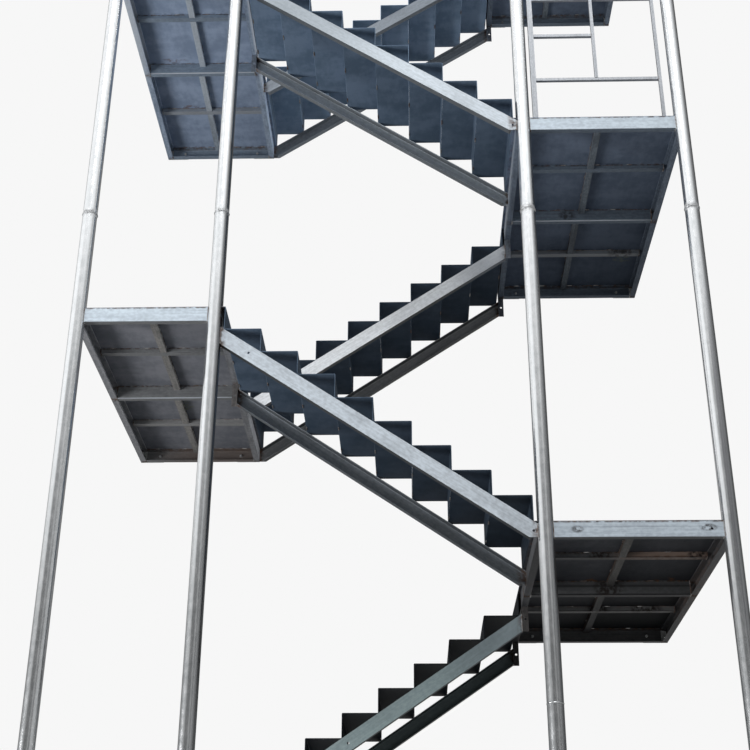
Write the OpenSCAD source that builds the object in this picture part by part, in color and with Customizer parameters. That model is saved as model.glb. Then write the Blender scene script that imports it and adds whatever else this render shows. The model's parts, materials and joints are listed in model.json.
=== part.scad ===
// Fire escape stair tower: four round posts in one row at the front, seven landings whose
// backs are anchored, and seven flights that climb in turn to the right and to the left.
// X runs along the row of posts, Y to the back, Z up. The origin is under the left outer post.

/* [Storeys] */
// Height that one flight climbs, half a storey
flight_rise = 1650; // [1500:10:1800]
// Risers in one flight
riser_count = 9; // [8:1:10]
// Depth of one tread, nosing to nosing
going = 267; // [240:1:300]
// Height of the posts above the highest landing
post_above = 1200; // [1000:50:1500]

/* [Posts] */
// Outside diameter of a round post
post_od = 108; // [80:1:140]
// Wall of a round post
post_wall = 4; // [3:0.5:8]
// Length of one pipe of a post, from weld to weld
pipe_length = 6000; // [4000:100:6500]
// Height of the weld that joins the second pipe to the third
splice_height = 7410; // [7000:10:7800]
// Height of the extra weld on the right inner post
extra_splice_height = 3750; // [3400:10:4200]
// Radius of a weld bead round a post
bead_radius = 5; // [3:0.5:8]

/* [Landings] */
// Axis of the left outer post to the axis of the left inner post
left_bay = 995; // [900:5:1200]
// Axis of the right inner post to the axis of the right outer post
right_bay = 1217; // [1000:5:1400]
// Depth of a landing, from its front face to its back
landing_depth = 2608; // [2400:10:2800]
// Thickness of the deck plate
deck_plate = 4; // [3:0.5:8]
// Distance from an outer post's axis to the outer face of its side beam
outer_offset = 15; // [0:1:25]
// Width of the tubes under the deck
rib_width = 50; // [40:5:60]
// Height of the tubes under the deck
rib_height = 40; // [30:5:60]
// Wall of the tubes under the deck
rib_wall = 3; // [2:0.5:5]
// Sideways step between the two front ribs and the two rear ribs
rib_step = 30; // [0:5:60]

/* [Rolled channel] */
// Depth of the channel
channel_depth = 110; // [90:1:130]
// Width of a flange
channel_flange = 50; // [40:1:60]
// Thickness of the web
channel_web = 5; // [4:0.5:8]
// Mean thickness of a flange
flange_mean = 7.5; // [6:0.5:9]
// Slope of the inner face of a flange
flange_taper = 0.1; // [0.05:0.01:0.12]
// Radius where web and flange meet
root_radius = 7; // [4:0.5:9]
// Radius at the toe of a flange
toe_radius = 3.5; // [2:0.5:4.5]

/* [Steps] */
// Width of a flight over its stringers
flight_width = 1045; // [900:5:1200]
// Thickness of the step plate
step_plate = 4; // [3:0.5:6]
// Inner radius of the fold at the nosing
fold_radius = 4; // [2:0.5:8]
// Overhang of the deck past its side beam, up to the riser
nosing_overhang = 22.5; // [15:0.5:40]
// Gap left at the weld between one step and the next
weld_gap = 0.4; // [0.2:0.1:0.8]

/* [Brackets] */
// Leg of the angle that hangs a stringer under a landing
hanger_leg = 50; // [40:1:50]
// Thickness of that angle
hanger_thick = 5; // [4:0.5:8]
// Side of a base plate
base_side = 250; // [220:5:300]
// Thickness of a base plate
base_thick = 12; // [8:1:20]
// Distance between the holes of a base plate
base_hole_spacing = 190; // [170:5:200]
// Diameter of the holes of a base plate
base_hole_d = 18; // [12:1:22]
// Height of the gussets on a base plate
gusset_height = 120; // [60:10:180]
// Thickness of the gussets
gusset_thick = 8; // [6:1:12]
// Distance from the holes of a foot plate to its ends
foot_edge = 25; // [18:1:40]
// Width of a foot plate
foot_width = 60; // [50:5:80]
// Thickness of a foot plate
foot_thick = 12; // [8:1:16]
// Distance between the two holes of a foot plate, which stand clear of the stringer
foot_hole_spacing = 340; // [310:5:400]
// Distance from the front hole of a foot plate to the first riser
foot_hole_lead = 39; // [30:1:60]
// Diameter of the holes of a foot plate
foot_hole_d = 14; // [10:1:18]
// Width of an anchor plate at the back of a landing
anchor_width = 200; // [160:5:240]
// Thickness of an anchor plate
anchor_thick = 8; // [6:1:12]
// Distance between the two holes of an anchor plate
anchor_hole_spacing = 140; // [120:5:150]
// Diameter of the holes of an anchor plate
anchor_hole_d = 14; // [10:1:18]

/* [Railing] */
// Height of the top rail above the deck
rail_top = 1200; // [1050:10:1300]
// Height of the upper of the two lower rails
rail_middle = 820; // [700:10:900]
// Height of the lowest rail
rail_low = 380; // [250:10:450]
// Side of the end post of a railing
rail_post = 40; // [30:1:50]
// Side of the other tubes of a railing
rail_tube = 25; // [20:1:30]
// Wall of the railing tubes
rail_wall = 2; // [1.5:0.5:3]
// Distance from an inner post's axis to the middle of the railing's end post
rail_inset = 100; // [85:1:160]

/* [Drilled holes] */
// Diameter of the spare holes that the used channels and angles bring along
drilled_d = 18; // [10:1:24]
// Hole in a front flight's outer stringer: distance to the lower side beam
drilled_low = 27; // [20:1:60]
// Hole in the same stringer: distance to the upper side beam
drilled_high = 205; // [100:5:400]
// Hole in the front stringer of a rear flight: distance to the lower side beam
drilled_rear = 873; // [600:1:1000]
// Hole in the front beam of a right landing: distance to the outer post's axis
drilled_beam = 129; // [100:1:200]
// Height of the hole in a hanger above the hanger's lower end
drilled_hanger = 94; // [60:1:120]

/* [Hidden] */
$fn = 48;

landing_count = 7;
// Numbers of the right landings and rear flights whose channels were drilled before
drilled_ones = [1, 3];
post_r = post_od / 2;
riser = flight_rise / riser_count;
pitch = atan(riser / going);
slope = riser / going;
// Run of a flight between the faces of the two side beams
run = (riser_count - 1) * going + 2 * nosing_overhang;
flight_bay = run + 2 * post_r;
post_x = [0, left_bay, left_bay + flight_bay, left_bay + flight_bay + right_bay];
post_top = landing_count * flight_rise + post_above;
// The channels are centred on the posts, so their front face lies half a flange before the axes
y_front = -channel_flange / 2;
y_back = y_front + landing_depth;
y_mid = y_front + landing_depth / 2;
left_face = post_x[1] + post_r;
right_face = post_x[2] - post_r;
left_end = post_x[0] - outer_offset;
right_end = post_x[3] + outer_offset;
// Vertical depth of a sloped stringer
stringer_drop = channel_depth / cos(pitch);
beam_under = deck_plate + channel_depth;
zinc = [0.72, 0.76, 0.79];
slate = [0.22, 0.27, 0.32];
// Spare length that is cut off again, and spare depth of a cutting tool
spare = 200;
cut = 1;
arc_steps = 4;

function level(k) = k * flight_rise;
function is_right(k) = k % 2 == 1;
// Distance that the root of a flange lies above its outer face, at x along the flange
function flange_at(x) = flange_mean + flange_taper * ((channel_flange + channel_web) / 2 - x);
function arc(cx, cy, r, a0, a1) =
  [for (i = [0:arc_steps]) let (a = a0 + (a1 - a0) * i / arc_steps) [cx + r * cos(a), cy + r * sin(a)]];
// Upper edge of the profile of one flange, from the toe to the web
flange_edge = concat(
  arc(channel_flange - toe_radius, flange_at(channel_flange - toe_radius) - toe_radius, toe_radius, 0, 90),
  arc(channel_web + root_radius, flange_at(channel_web + root_radius) + root_radius, root_radius, 270, 180)
);
function last_index(list) = len(list) - 1;
channel_outline = concat(
  [[0, 0], [channel_flange, 0]],
  flange_edge,
  [for (i = [last_index(flange_edge):-1:0]) [flange_edge[i][0], channel_depth - flange_edge[i][1]]],
  [[channel_flange, channel_depth], [0, channel_depth]]
);

// Channel along X with its web at the front, from x = 0, with its under side at z = 0
module channel_x(length) {
  rotate([90, 0, 90]) linear_extrude(length) polygon(channel_outline);
}

// Channel along Y with its web on the left, from y = 0, with its under side at z = 0
module channel_y(length) {
  translate([0, length, 0]) rotate([90, 0, 0]) linear_extrude(length) polygon(channel_outline);
}

// Rectangular tube along X, centred on the X axis in Y, with its top at z = 0
module rib_x(length) {
  translate([0, -rib_width / 2, -rib_height]) difference() {
    cube([length, rib_width, rib_height]);
    translate([-cut, rib_wall, rib_wall])
      cube([length + 2 * cut, rib_width - 2 * rib_wall, rib_height - 2 * rib_wall]);
  }
}

// Posts

module post_solids(radius) {
  for (x = post_x) translate([x, 0, 0]) cylinder(h = post_top, r = radius);
}

module post(index, splices) {
  color(zinc) translate([post_x[index], 0, 0]) difference() {
    union() {
      translate([0, 0, base_thick]) cylinder(h = post_top - base_thick, r = post_r);
      for (z = splices) translate([0, 0, z]) rotate_extrude() translate([post_r - bead_radius / 2, 0])
        circle(r = bead_radius);
    }
    translate([0, 0, base_thick - cut])
      cylinder(h = post_top - post_wall - base_thick + cut, r = post_r - post_wall);
  }
}

common_splices = [splice_height - pipe_length, splice_height];
module left_outer_post() { post(0, common_splices); }
module left_inner_post() { post(1, common_splices); }
module right_inner_post() { post(2, concat(common_splices, [extra_splice_height])); }
module right_outer_post() { post(3, common_splices); }

// One triangular gusset that leans on the post at +X
module gusset() {
  rotate([90, 0, 0]) translate([0, 0, -gusset_thick / 2]) linear_extrude(gusset_thick)
    polygon([[0, 0], [base_side / 2, 0], [post_r + gusset_thick, gusset_height], [0, gusset_height]]);
}

module base_plate() {
  difference() {
    union() {
      translate([-base_side / 2, -base_side / 2, 0]) cube([base_side, base_side, base_thick]);
      difference() {
        for (a = [0:90:270]) rotate(a) translate([0, 0, base_thick]) gusset();
        translate([0, 0, base_thick]) cylinder(h = gusset_height + cut, r = post_r);
      }
    }
    for (x = [-1, 1], y = [-1, 1])
      translate([x * base_hole_spacing / 2, y * base_hole_spacing / 2, -cut])
        cylinder(h = base_thick + 2 * cut, d = base_hole_d);
  }
}

// Foot plate under one stringer of the lowest flight, centred on the stringer
foot_x = left_face + nosing_overhang - foot_hole_lead - foot_edge;
foot_length = foot_hole_spacing + 2 * foot_edge;
module foot_plate() {
  difference() {
    translate([0, -foot_width / 2, 0]) cube([foot_length, foot_width, foot_thick]);
    for (x = [foot_edge, foot_length - foot_edge]) translate([x, 0, -cut])
      cylinder(h = foot_thick + 2 * cut, d = foot_hole_d);
  }
}

module base_plates() {
  color(zinc) {
    for (x = post_x) translate([x, 0, 0]) base_plate();
    for (y = [y_back - flight_width + foot_width / 2, y_back - foot_width / 2])
      translate([foot_x, y, 0]) foot_plate();
  }
}

// Hole along Y, at x and z, through the web or leg that stands at y
module drilled(x, y, z) {
  translate([x, y - cut, z]) rotate([-90, 0, 0])
    cylinder(h = channel_web + hanger_thick + 2 * cut, d = drilled_d);
}

// Landings, numbered from the lowest: odd ones on the right, even ones on the left

function outer_x(k) = is_right(k) ? right_end : left_end;
function stair_x(k) = is_right(k) ? right_face : left_face;
function low_x(k) = min(outer_x(k), stair_x(k));
function high_x(k) = max(outer_x(k), stair_x(k));
function beam_z(k) = level(k) - beam_under;
function is_drilled(k) = len([for (n = drilled_ones) if (n == k) n]) > 0;

module side_beams(k) {
  start = channel_flange / 2;
  length = y_back - start;
  color(zinc) difference() {
    translate([0, start, beam_z(k)]) {
      translate([low_x(k), 0, 0]) channel_y(length);
      translate([high_x(k), 0, 0]) mirror([1, 0, 0]) channel_y(length);
    }
    post_solids(post_r);
  }
}

module landing_1_side_beams() { side_beams(1); }
module landing_2_side_beams() { side_beams(2); }
module landing_3_side_beams() { side_beams(3); }
module landing_4_side_beams() { side_beams(4); }
module landing_5_side_beams() { side_beams(5); }
module landing_6_side_beams() { side_beams(6); }
module landing_7_side_beams() { side_beams(7); }

module cross_beams(k) {
  front_x = is_right(k) ? post_x[2] : post_x[0];
  front_length = is_right(k) ? right_bay : left_bay;
  // Cross members fit between the flanges of the side beams, whose toes they meet
  inner_low = low_x(k) + channel_flange;
  inner_width = high_x(k) - low_x(k) - 2 * channel_flange;
  color(zinc) {
    difference() {
      translate([front_x, y_front, beam_z(k)]) channel_x(front_length);
      post_solids(post_r);
      if (is_drilled(k)) drilled(post_x[3] - drilled_beam, y_front, beam_z(k) + channel_depth / 2);
    }
    translate([inner_low, y_mid - channel_flange / 2, beam_z(k)]) channel_x(inner_width);
    difference() {
      translate([inner_low, y_back, beam_z(k)]) mirror([0, 1, 0]) channel_x(inner_width);
      anchor_holes(k);
    }
    for (side = [-1, 1])
      translate([inner_low, y_mid + side * landing_depth / 4, level(k) - deck_plate]) rib_x(inner_width);
  }
}

module landing_1_cross_beams() { cross_beams(1); }
module landing_2_cross_beams() { cross_beams(2); }
module landing_3_cross_beams() { cross_beams(3); }
module landing_4_cross_beams() { cross_beams(4); }
module landing_5_cross_beams() { cross_beams(5); }
module landing_6_cross_beams() { cross_beams(6); }
module landing_7_cross_beams() { cross_beams(7); }

module deck(k) {
  low = is_right(k) ? right_face - nosing_overhang : left_end;
  high = is_right(k) ? right_end : left_face + nosing_overhang;
  color(slate) difference() {
    translate([low, y_front, level(k) - deck_plate]) cube([high - low, landing_depth, deck_plate]);
    post_solids(post_r);
  }
}

module landing_1_deck() { deck(1); }
module landing_2_deck() { deck(2); }
module landing_3_deck() { deck(3); }
module landing_4_deck() { deck(4); }
module landing_5_deck() { deck(5); }
module landing_6_deck() { deck(6); }
module landing_7_deck() { deck(7); }

// Front and back end of each rib, between the cross members of a landing
rib_spans = [
  [y_front + channel_flange, y_mid - landing_depth / 4 - rib_width / 2],
  [y_mid - landing_depth / 4 + rib_width / 2, y_mid - channel_flange / 2],
  [y_mid + channel_flange / 2, y_mid + landing_depth / 4 - rib_width / 2],
  [y_mid + landing_depth / 4 + rib_width / 2, y_back - channel_flange]
];

module deck_ribs() {
  color(zinc) for (k = [1:landing_count], i = [0:last_index(rib_spans)]) {
    is_front = rib_spans[i][0] < y_mid;
    middle = (low_x(k) + high_x(k)) / 2 - (is_front ? 0 : rib_step);
    length = rib_spans[i][1] - rib_spans[i][0];
    translate([middle, rib_spans[i][0], level(k) - deck_plate]) rotate(90) rib_x(length);
  }
}

// Flights, numbered by the landing that they climb to: odd ones at the back, even ones at the front.
// Each is drawn climbing towards +X, from the face of the lower side beam, then put in place.

module place_flight(k) {
  if (is_right(k)) translate([left_face, y_back - flight_width, level(k - 1)]) children();
  else translate([right_face, y_front, level(k - 1)]) mirror([1, 0, 0]) children();
}

// Height of the stringer's top edge at x: it passes under the foot of every riser
function stringer_top(x) = (x - nosing_overhang) * slope - step_plate;
function stringer_middle(x) = stringer_top(x) - stringer_drop / 2;

module sloped_channel() {
  translate([nosing_overhang, 0, -step_plate]) rotate([0, -pitch, 0])
    translate([-spare, 0, -channel_depth]) channel_x(run / cos(pitch) + 2 * spare);
}

// The part of a flight between two upright planes and above the foot plate
module flight_limits(low, high, floor_z) {
  translate([low, -cut, floor_z])
    cube([high - low, flight_width + 2 * cut, flight_rise + spare]);
}

module stringers(k) {
  // A front flight's outer stringer is coped to the round posts at both ends
  coped = !is_right(k);
  // The lower end is cut off level, on the foot plate or flush with the under side of the beams
  floor_z = k == 1 ? foot_thick : -beam_under;
  holes = coped ? [drilled_low, run - drilled_high] : is_drilled(k) ? [drilled_rear] : [];
  color(zinc) difference() {
    place_flight(k) {
      difference() {
        intersection() {
          sloped_channel();
          flight_limits(coped ? -post_r / 2 : 0, coped ? run + post_r / 2 : run, floor_z);
        }
        for (x = holes) drilled(x, 0, stringer_middle(x));
      }
      intersection() {
        translate([0, flight_width, 0]) mirror([0, 1, 0]) sloped_channel();
        flight_limits(0, run, floor_z);
      }
    }
    post_solids(post_r);
  }
}

module flight_1_stringers() { stringers(1); }
module flight_2_stringers() { stringers(2); }
module flight_3_stringers() { stringers(3); }
module flight_4_stringers() { stringers(4); }
module flight_5_stringers() { stringers(5); }
module flight_6_stringers() { stringers(6); }
module flight_7_stringers() { stringers(7); }

// Profile of one folded step in X and Z, with the outer corner of its nosing at the origin
module step_profile(tread, foot_z) {
  outer = fold_radius + step_plate;
  translate([outer, -step_plate]) square([tread - outer, step_plate]);
  // The foot is cut along the stringer that it stands on
  polygon([[0, -outer], [0, foot_z], [step_plate, foot_z + step_plate * slope], [step_plate, -outer]]);
  intersection() {
    translate([0, -outer]) square([outer, outer]);
    translate([outer, -outer]) difference() {
      circle(r = outer);
      circle(r = fold_radius);
    }
  }
}

module top_riser_profile(foot_z) {
  polygon([[0, 0], [0, foot_z], [step_plate, foot_z + step_plate * slope], [step_plate, 0]]);
}

module upright(height) {
  translate([0, height, 0]) rotate([90, 0, 0]) linear_extrude(height) children();
}

module steps(k) {
  floor_z = k == 1 ? foot_thick : -step_plate - cut;
  color(slate) place_flight(k) intersection() {
    union() {
      for (i = [1:riser_count - 1])
        translate([nosing_overhang + (i - 1) * going, 0, i * riser]) upright(flight_width)
          step_profile(going - weld_gap, -riser - step_plate);
      translate([nosing_overhang + (riser_count - 1) * going, 0, flight_rise - deck_plate])
        upright(flight_width) top_riser_profile(deck_plate - riser - step_plate);
    }
    flight_limits(0, run, floor_z);
  }
}

module flight_1_steps() { steps(1); }
module flight_2_steps() { steps(2); }
module flight_3_steps() { steps(3); }
module flight_4_steps() { steps(4); }
module flight_5_steps() { steps(5); }
module flight_6_steps() { steps(6); }
module flight_7_steps() { steps(7); }

// Angle that hangs from the side beam of the upper landing and holds the end of a stringer.
// Its outer leg lies at y = 0 in the plane of the stringer's web.
module hanger() {
  low = stringer_top(run) - stringer_drop;
  translate([run, 0, low]) difference() {
    cube([hanger_leg, hanger_leg, flight_rise - beam_under - low]);
    translate([hanger_thick, hanger_thick, -cut]) cube([hanger_leg, hanger_leg, flight_rise]);
    drilled((hanger_leg + hanger_thick) / 2, 0, drilled_hanger);
  }
}

module stringer_hangers() {
  color(zinc) for (k = [1:landing_count]) place_flight(k) {
    if (is_right(k)) hanger();
    translate([0, flight_width, 0]) mirror([0, 1, 0]) hanger();
  }
}

// Plates that anchor the back of every landing

function anchor_xs(k) = [low_x(k) + anchor_width / 2, high_x(k) - anchor_width / 2];

// Holes of a landing's two anchor plates; the inner ones also pass through the back channel's web
module anchor_holes(k) {
  for (x = anchor_xs(k), side = [-1, 1])
    translate([x + side * anchor_hole_spacing / 2, y_back - channel_web - cut, beam_z(k) + channel_depth / 2])
      rotate([-90, 0, 0]) cylinder(h = channel_web + anchor_thick + 2 * cut, d = anchor_hole_d);
}

module wall_anchors() {
  color(zinc) for (k = [1:landing_count]) difference() {
    for (x = anchor_xs(k)) translate([x - anchor_width / 2, y_back, beam_z(k)])
      cube([anchor_width, anchor_thick, channel_depth]);
    anchor_holes(k);
  }
}

// Unfinished railing on the front beam of a right landing

module square_tube(side, length) {
  difference() {
    translate([-side / 2, -side / 2, 0]) cube([side, side, length]);
    translate([rail_wall - side / 2, rail_wall - side / 2, -cut])
      cube([side - 2 * rail_wall, side - 2 * rail_wall, length + 2 * cut]);
  }
}

// Horizontal tube from x0 to x1 with its middle at height z
module rail(x0, x1, z) {
  translate([x0, 0, z]) rotate([0, 90, 0]) square_tube(rail_tube, x1 - x0);
}

module railing(k) {
  first = post_x[2] + rail_inset;
  last = post_x[3] - rail_inset - post_r / 2;
  half = (first + last) / 2;
  low_end = first + rail_post / 2;
  under_top = rail_top - rail_tube / 2;
  color(zinc) translate([0, 0, level(k)]) {
    translate([first, 0, 0]) square_tube(rail_post, under_top);
    translate([last, 0, 0]) square_tube(rail_tube, under_top);
    translate([half, 0, rail_low + rail_tube / 2])
      square_tube(rail_tube, under_top - rail_low - rail_tube / 2);
    rail(low_end, last - rail_tube / 2, rail_low);
    rail(low_end, half - rail_tube / 2, rail_middle);
    rail(first - rail_post / 2, last + rail_tube / 2, rail_top);
  }
}

module landing_5_railing() { railing(5); }
module landing_7_railing() { railing(7); }

left_outer_post();
left_inner_post();
right_inner_post();
right_outer_post();
base_plates();
landing_1_side_beams();
landing_2_side_beams();
landing_3_side_beams();
landing_4_side_beams();
landing_5_side_beams();
landing_6_side_beams();
landing_7_side_beams();
landing_1_cross_beams();
landing_2_cross_beams();
landing_3_cross_beams();
landing_4_cross_beams();
landing_5_cross_beams();
landing_6_cross_beams();
landing_7_cross_beams();
landing_1_deck();
landing_2_deck();
landing_3_deck();
landing_4_deck();
landing_5_deck();
landing_6_deck();
landing_7_deck();
deck_ribs();
flight_1_stringers();
flight_2_stringers();
flight_3_stringers();
flight_4_stringers();
flight_5_stringers();
flight_6_stringers();
flight_7_stringers();
flight_1_steps();
flight_2_steps();
flight_3_steps();
flight_4_steps();
flight_5_steps();
flight_6_steps();
flight_7_steps();
stringer_hangers();
wall_anchors();
landing_5_railing();
landing_7_railing();
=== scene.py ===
"""Looks of the fire escape stair tower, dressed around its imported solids.

The tower's posts stand in a row along X, the landings run back along Y and Z points up. All lengths
are metres. Each sub-assembly is a class that builds its weld seams or bolts as numpy surfaces and
dresses its solids with procedural finishes.
"""

from __future__ import annotations

import json
import logging
import math
from dataclasses import dataclass
from enum import Enum
from functools import reduce
from typing import Iterable, Sequence, Union

import bpy
import numpy as np
from mathutils import Matrix, Vector

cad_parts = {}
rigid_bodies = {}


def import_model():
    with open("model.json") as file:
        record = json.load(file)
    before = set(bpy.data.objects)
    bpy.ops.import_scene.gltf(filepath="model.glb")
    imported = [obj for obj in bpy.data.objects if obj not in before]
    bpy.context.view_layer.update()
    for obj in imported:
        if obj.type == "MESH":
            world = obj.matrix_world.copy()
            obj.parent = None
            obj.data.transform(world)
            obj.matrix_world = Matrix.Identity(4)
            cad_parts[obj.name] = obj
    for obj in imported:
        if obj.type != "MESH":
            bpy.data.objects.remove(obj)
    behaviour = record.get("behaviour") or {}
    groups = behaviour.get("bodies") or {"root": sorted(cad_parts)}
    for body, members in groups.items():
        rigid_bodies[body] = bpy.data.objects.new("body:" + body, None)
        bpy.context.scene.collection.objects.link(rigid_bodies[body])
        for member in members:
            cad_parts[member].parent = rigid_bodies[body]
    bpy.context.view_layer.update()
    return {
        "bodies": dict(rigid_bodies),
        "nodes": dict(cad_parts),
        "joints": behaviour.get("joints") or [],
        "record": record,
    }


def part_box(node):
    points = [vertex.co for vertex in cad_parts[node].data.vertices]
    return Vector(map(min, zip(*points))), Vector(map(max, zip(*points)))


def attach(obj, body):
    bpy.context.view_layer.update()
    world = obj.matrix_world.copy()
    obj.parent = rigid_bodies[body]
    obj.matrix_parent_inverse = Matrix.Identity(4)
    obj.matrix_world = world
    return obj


LOG = logging.getLogger("stair_tower")
Socket = bpy.types.NodeSocket
Number = Union[float, Socket]
Key = Union[int, str]
Colour = tuple[float, float, float]
Point = tuple[float, float, float]
Span = tuple[float, float]
BODY = "root"
POSTS = ("left_outer_post", "left_inner_post", "right_inner_post", "right_outer_post")
LEVELS = range(1, 8)
RAILED = (5, 7)


class Run(Enum):
    """Way in which a rolled or drawn piece runs, and its streaks with it."""

    ALONG_X = "along_x"
    ALONG_Y = "along_y"
    ALONG_Z = "along_z"
    UP_RIGHT = "up_right"
    UP_LEFT = "up_left"


@dataclass(frozen=True)
class TowerPlan:
    """Sizes of the tower that its seams and finishes follow, with places read from the frame."""

    post_radius: float = 0.054
    post_x: tuple[float, ...] = ()
    levels: tuple[float, ...] = ()
    left_end: float = 0.0
    left_face: float = 0.0
    right_face: float = 0.0
    right_end: float = 0.0
    front: float = 0.0
    back: float = 0.0
    flight_rise: float = 1.65
    risers: int = 9
    going: float = 0.267
    nosing: float = 0.0225
    flight_width: float = 1.045
    plate: float = 0.004
    channel_depth: float = 0.110
    flange: float = 0.050
    web: float = 0.005
    base_plate: float = 0.012
    rib_width: float = 0.050
    rib_height: float = 0.040
    rib_step: float = 0.030
    splice_height: float = 7.41
    pipe_length: float = 6.0

    @classmethod
    def from_frame(cls) -> TowerPlan:
        """Reads the places of posts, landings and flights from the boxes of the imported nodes.

        Returns:
            The plan of this tower.
        """
        posts = [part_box(name) for name in POSTS]
        decks = [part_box(f"landing_{k}_deck") for k in LEVELS]
        left_low, left_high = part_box("landing_2_side_beams")
        right_low, right_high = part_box("landing_1_side_beams")
        return cls(
            post_x=tuple((low.x + high.x) / 2 for low, high in posts),
            levels=tuple(high.z for _, high in decks),
            left_end=left_low.x,
            left_face=left_high.x,
            right_face=right_low.x,
            right_end=right_high.x,
            front=decks[0][0].y,
            back=decks[0][1].y,
        )

    @property
    def riser(self) -> float:
        """Height of one riser: the rise of a flight over its risers."""
        return self.flight_rise / self.risers

    @property
    def slope(self) -> float:
        """Slope of a flight: its riser over its going."""
        return self.riser / self.going

    @property
    def pitch(self) -> float:
        """Angle of a flight in radians, whose tangent is the slope."""
        return math.atan(self.slope)

    @property
    def run(self) -> float:
        """Length of a flight between the faces of its side beams."""
        return self.right_face - self.left_face

    @property
    def drop(self) -> float:
        """Upright depth of a sloped stringer: its depth over the cosine of the pitch."""
        return self.channel_depth / math.cos(self.pitch)

    @property
    def middle_y(self) -> float:
        """Middle of a landing from front to back."""
        return (self.front + self.back) / 2

    @property
    def quarter(self) -> float:
        """Distance from a landing's middle to the tubes across it, a fourth of its depth."""
        return (self.back - self.front) / 4

    def is_right(self, landing: int) -> bool:
        """Whether a landing lies on the right, as the odd ones do."""
        return landing % 2 == 1

    def stringer_top(self, x: float) -> float:
        """Height of a stringer's top edge over the lower deck, at x from the lower side beam."""
        return (x - self.nosing) * self.slope - self.plate

    def side_faces(self, landing: int) -> Span:
        """Outer faces of a landing's two side beams along X, the left one first."""
        right = self.is_right(landing)
        return (self.right_face, self.right_end) if right else (self.left_end, self.left_face)

    def place(self, flight: int, points: np.ndarray) -> np.ndarray:
        """Puts points of a flight drawn climbing towards +X in their place in the tower.

        Args:
            flight: Number of the flight, which is that of the landing it climbs to.
            points: Array of points, from the lower side beam, the flight's front and the lower deck.

        Returns:
            The points in the tower's frame, mirrored in X for a flight that climbs to the left.
        """
        low = (flight - 1) * self.flight_rise
        if self.is_right(flight):
            return points + np.array([self.left_face, self.back - self.flight_width, low])
        return points * np.array([-1.0, 1.0, 1.0]) + np.array([self.right_face, self.front, low])


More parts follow.
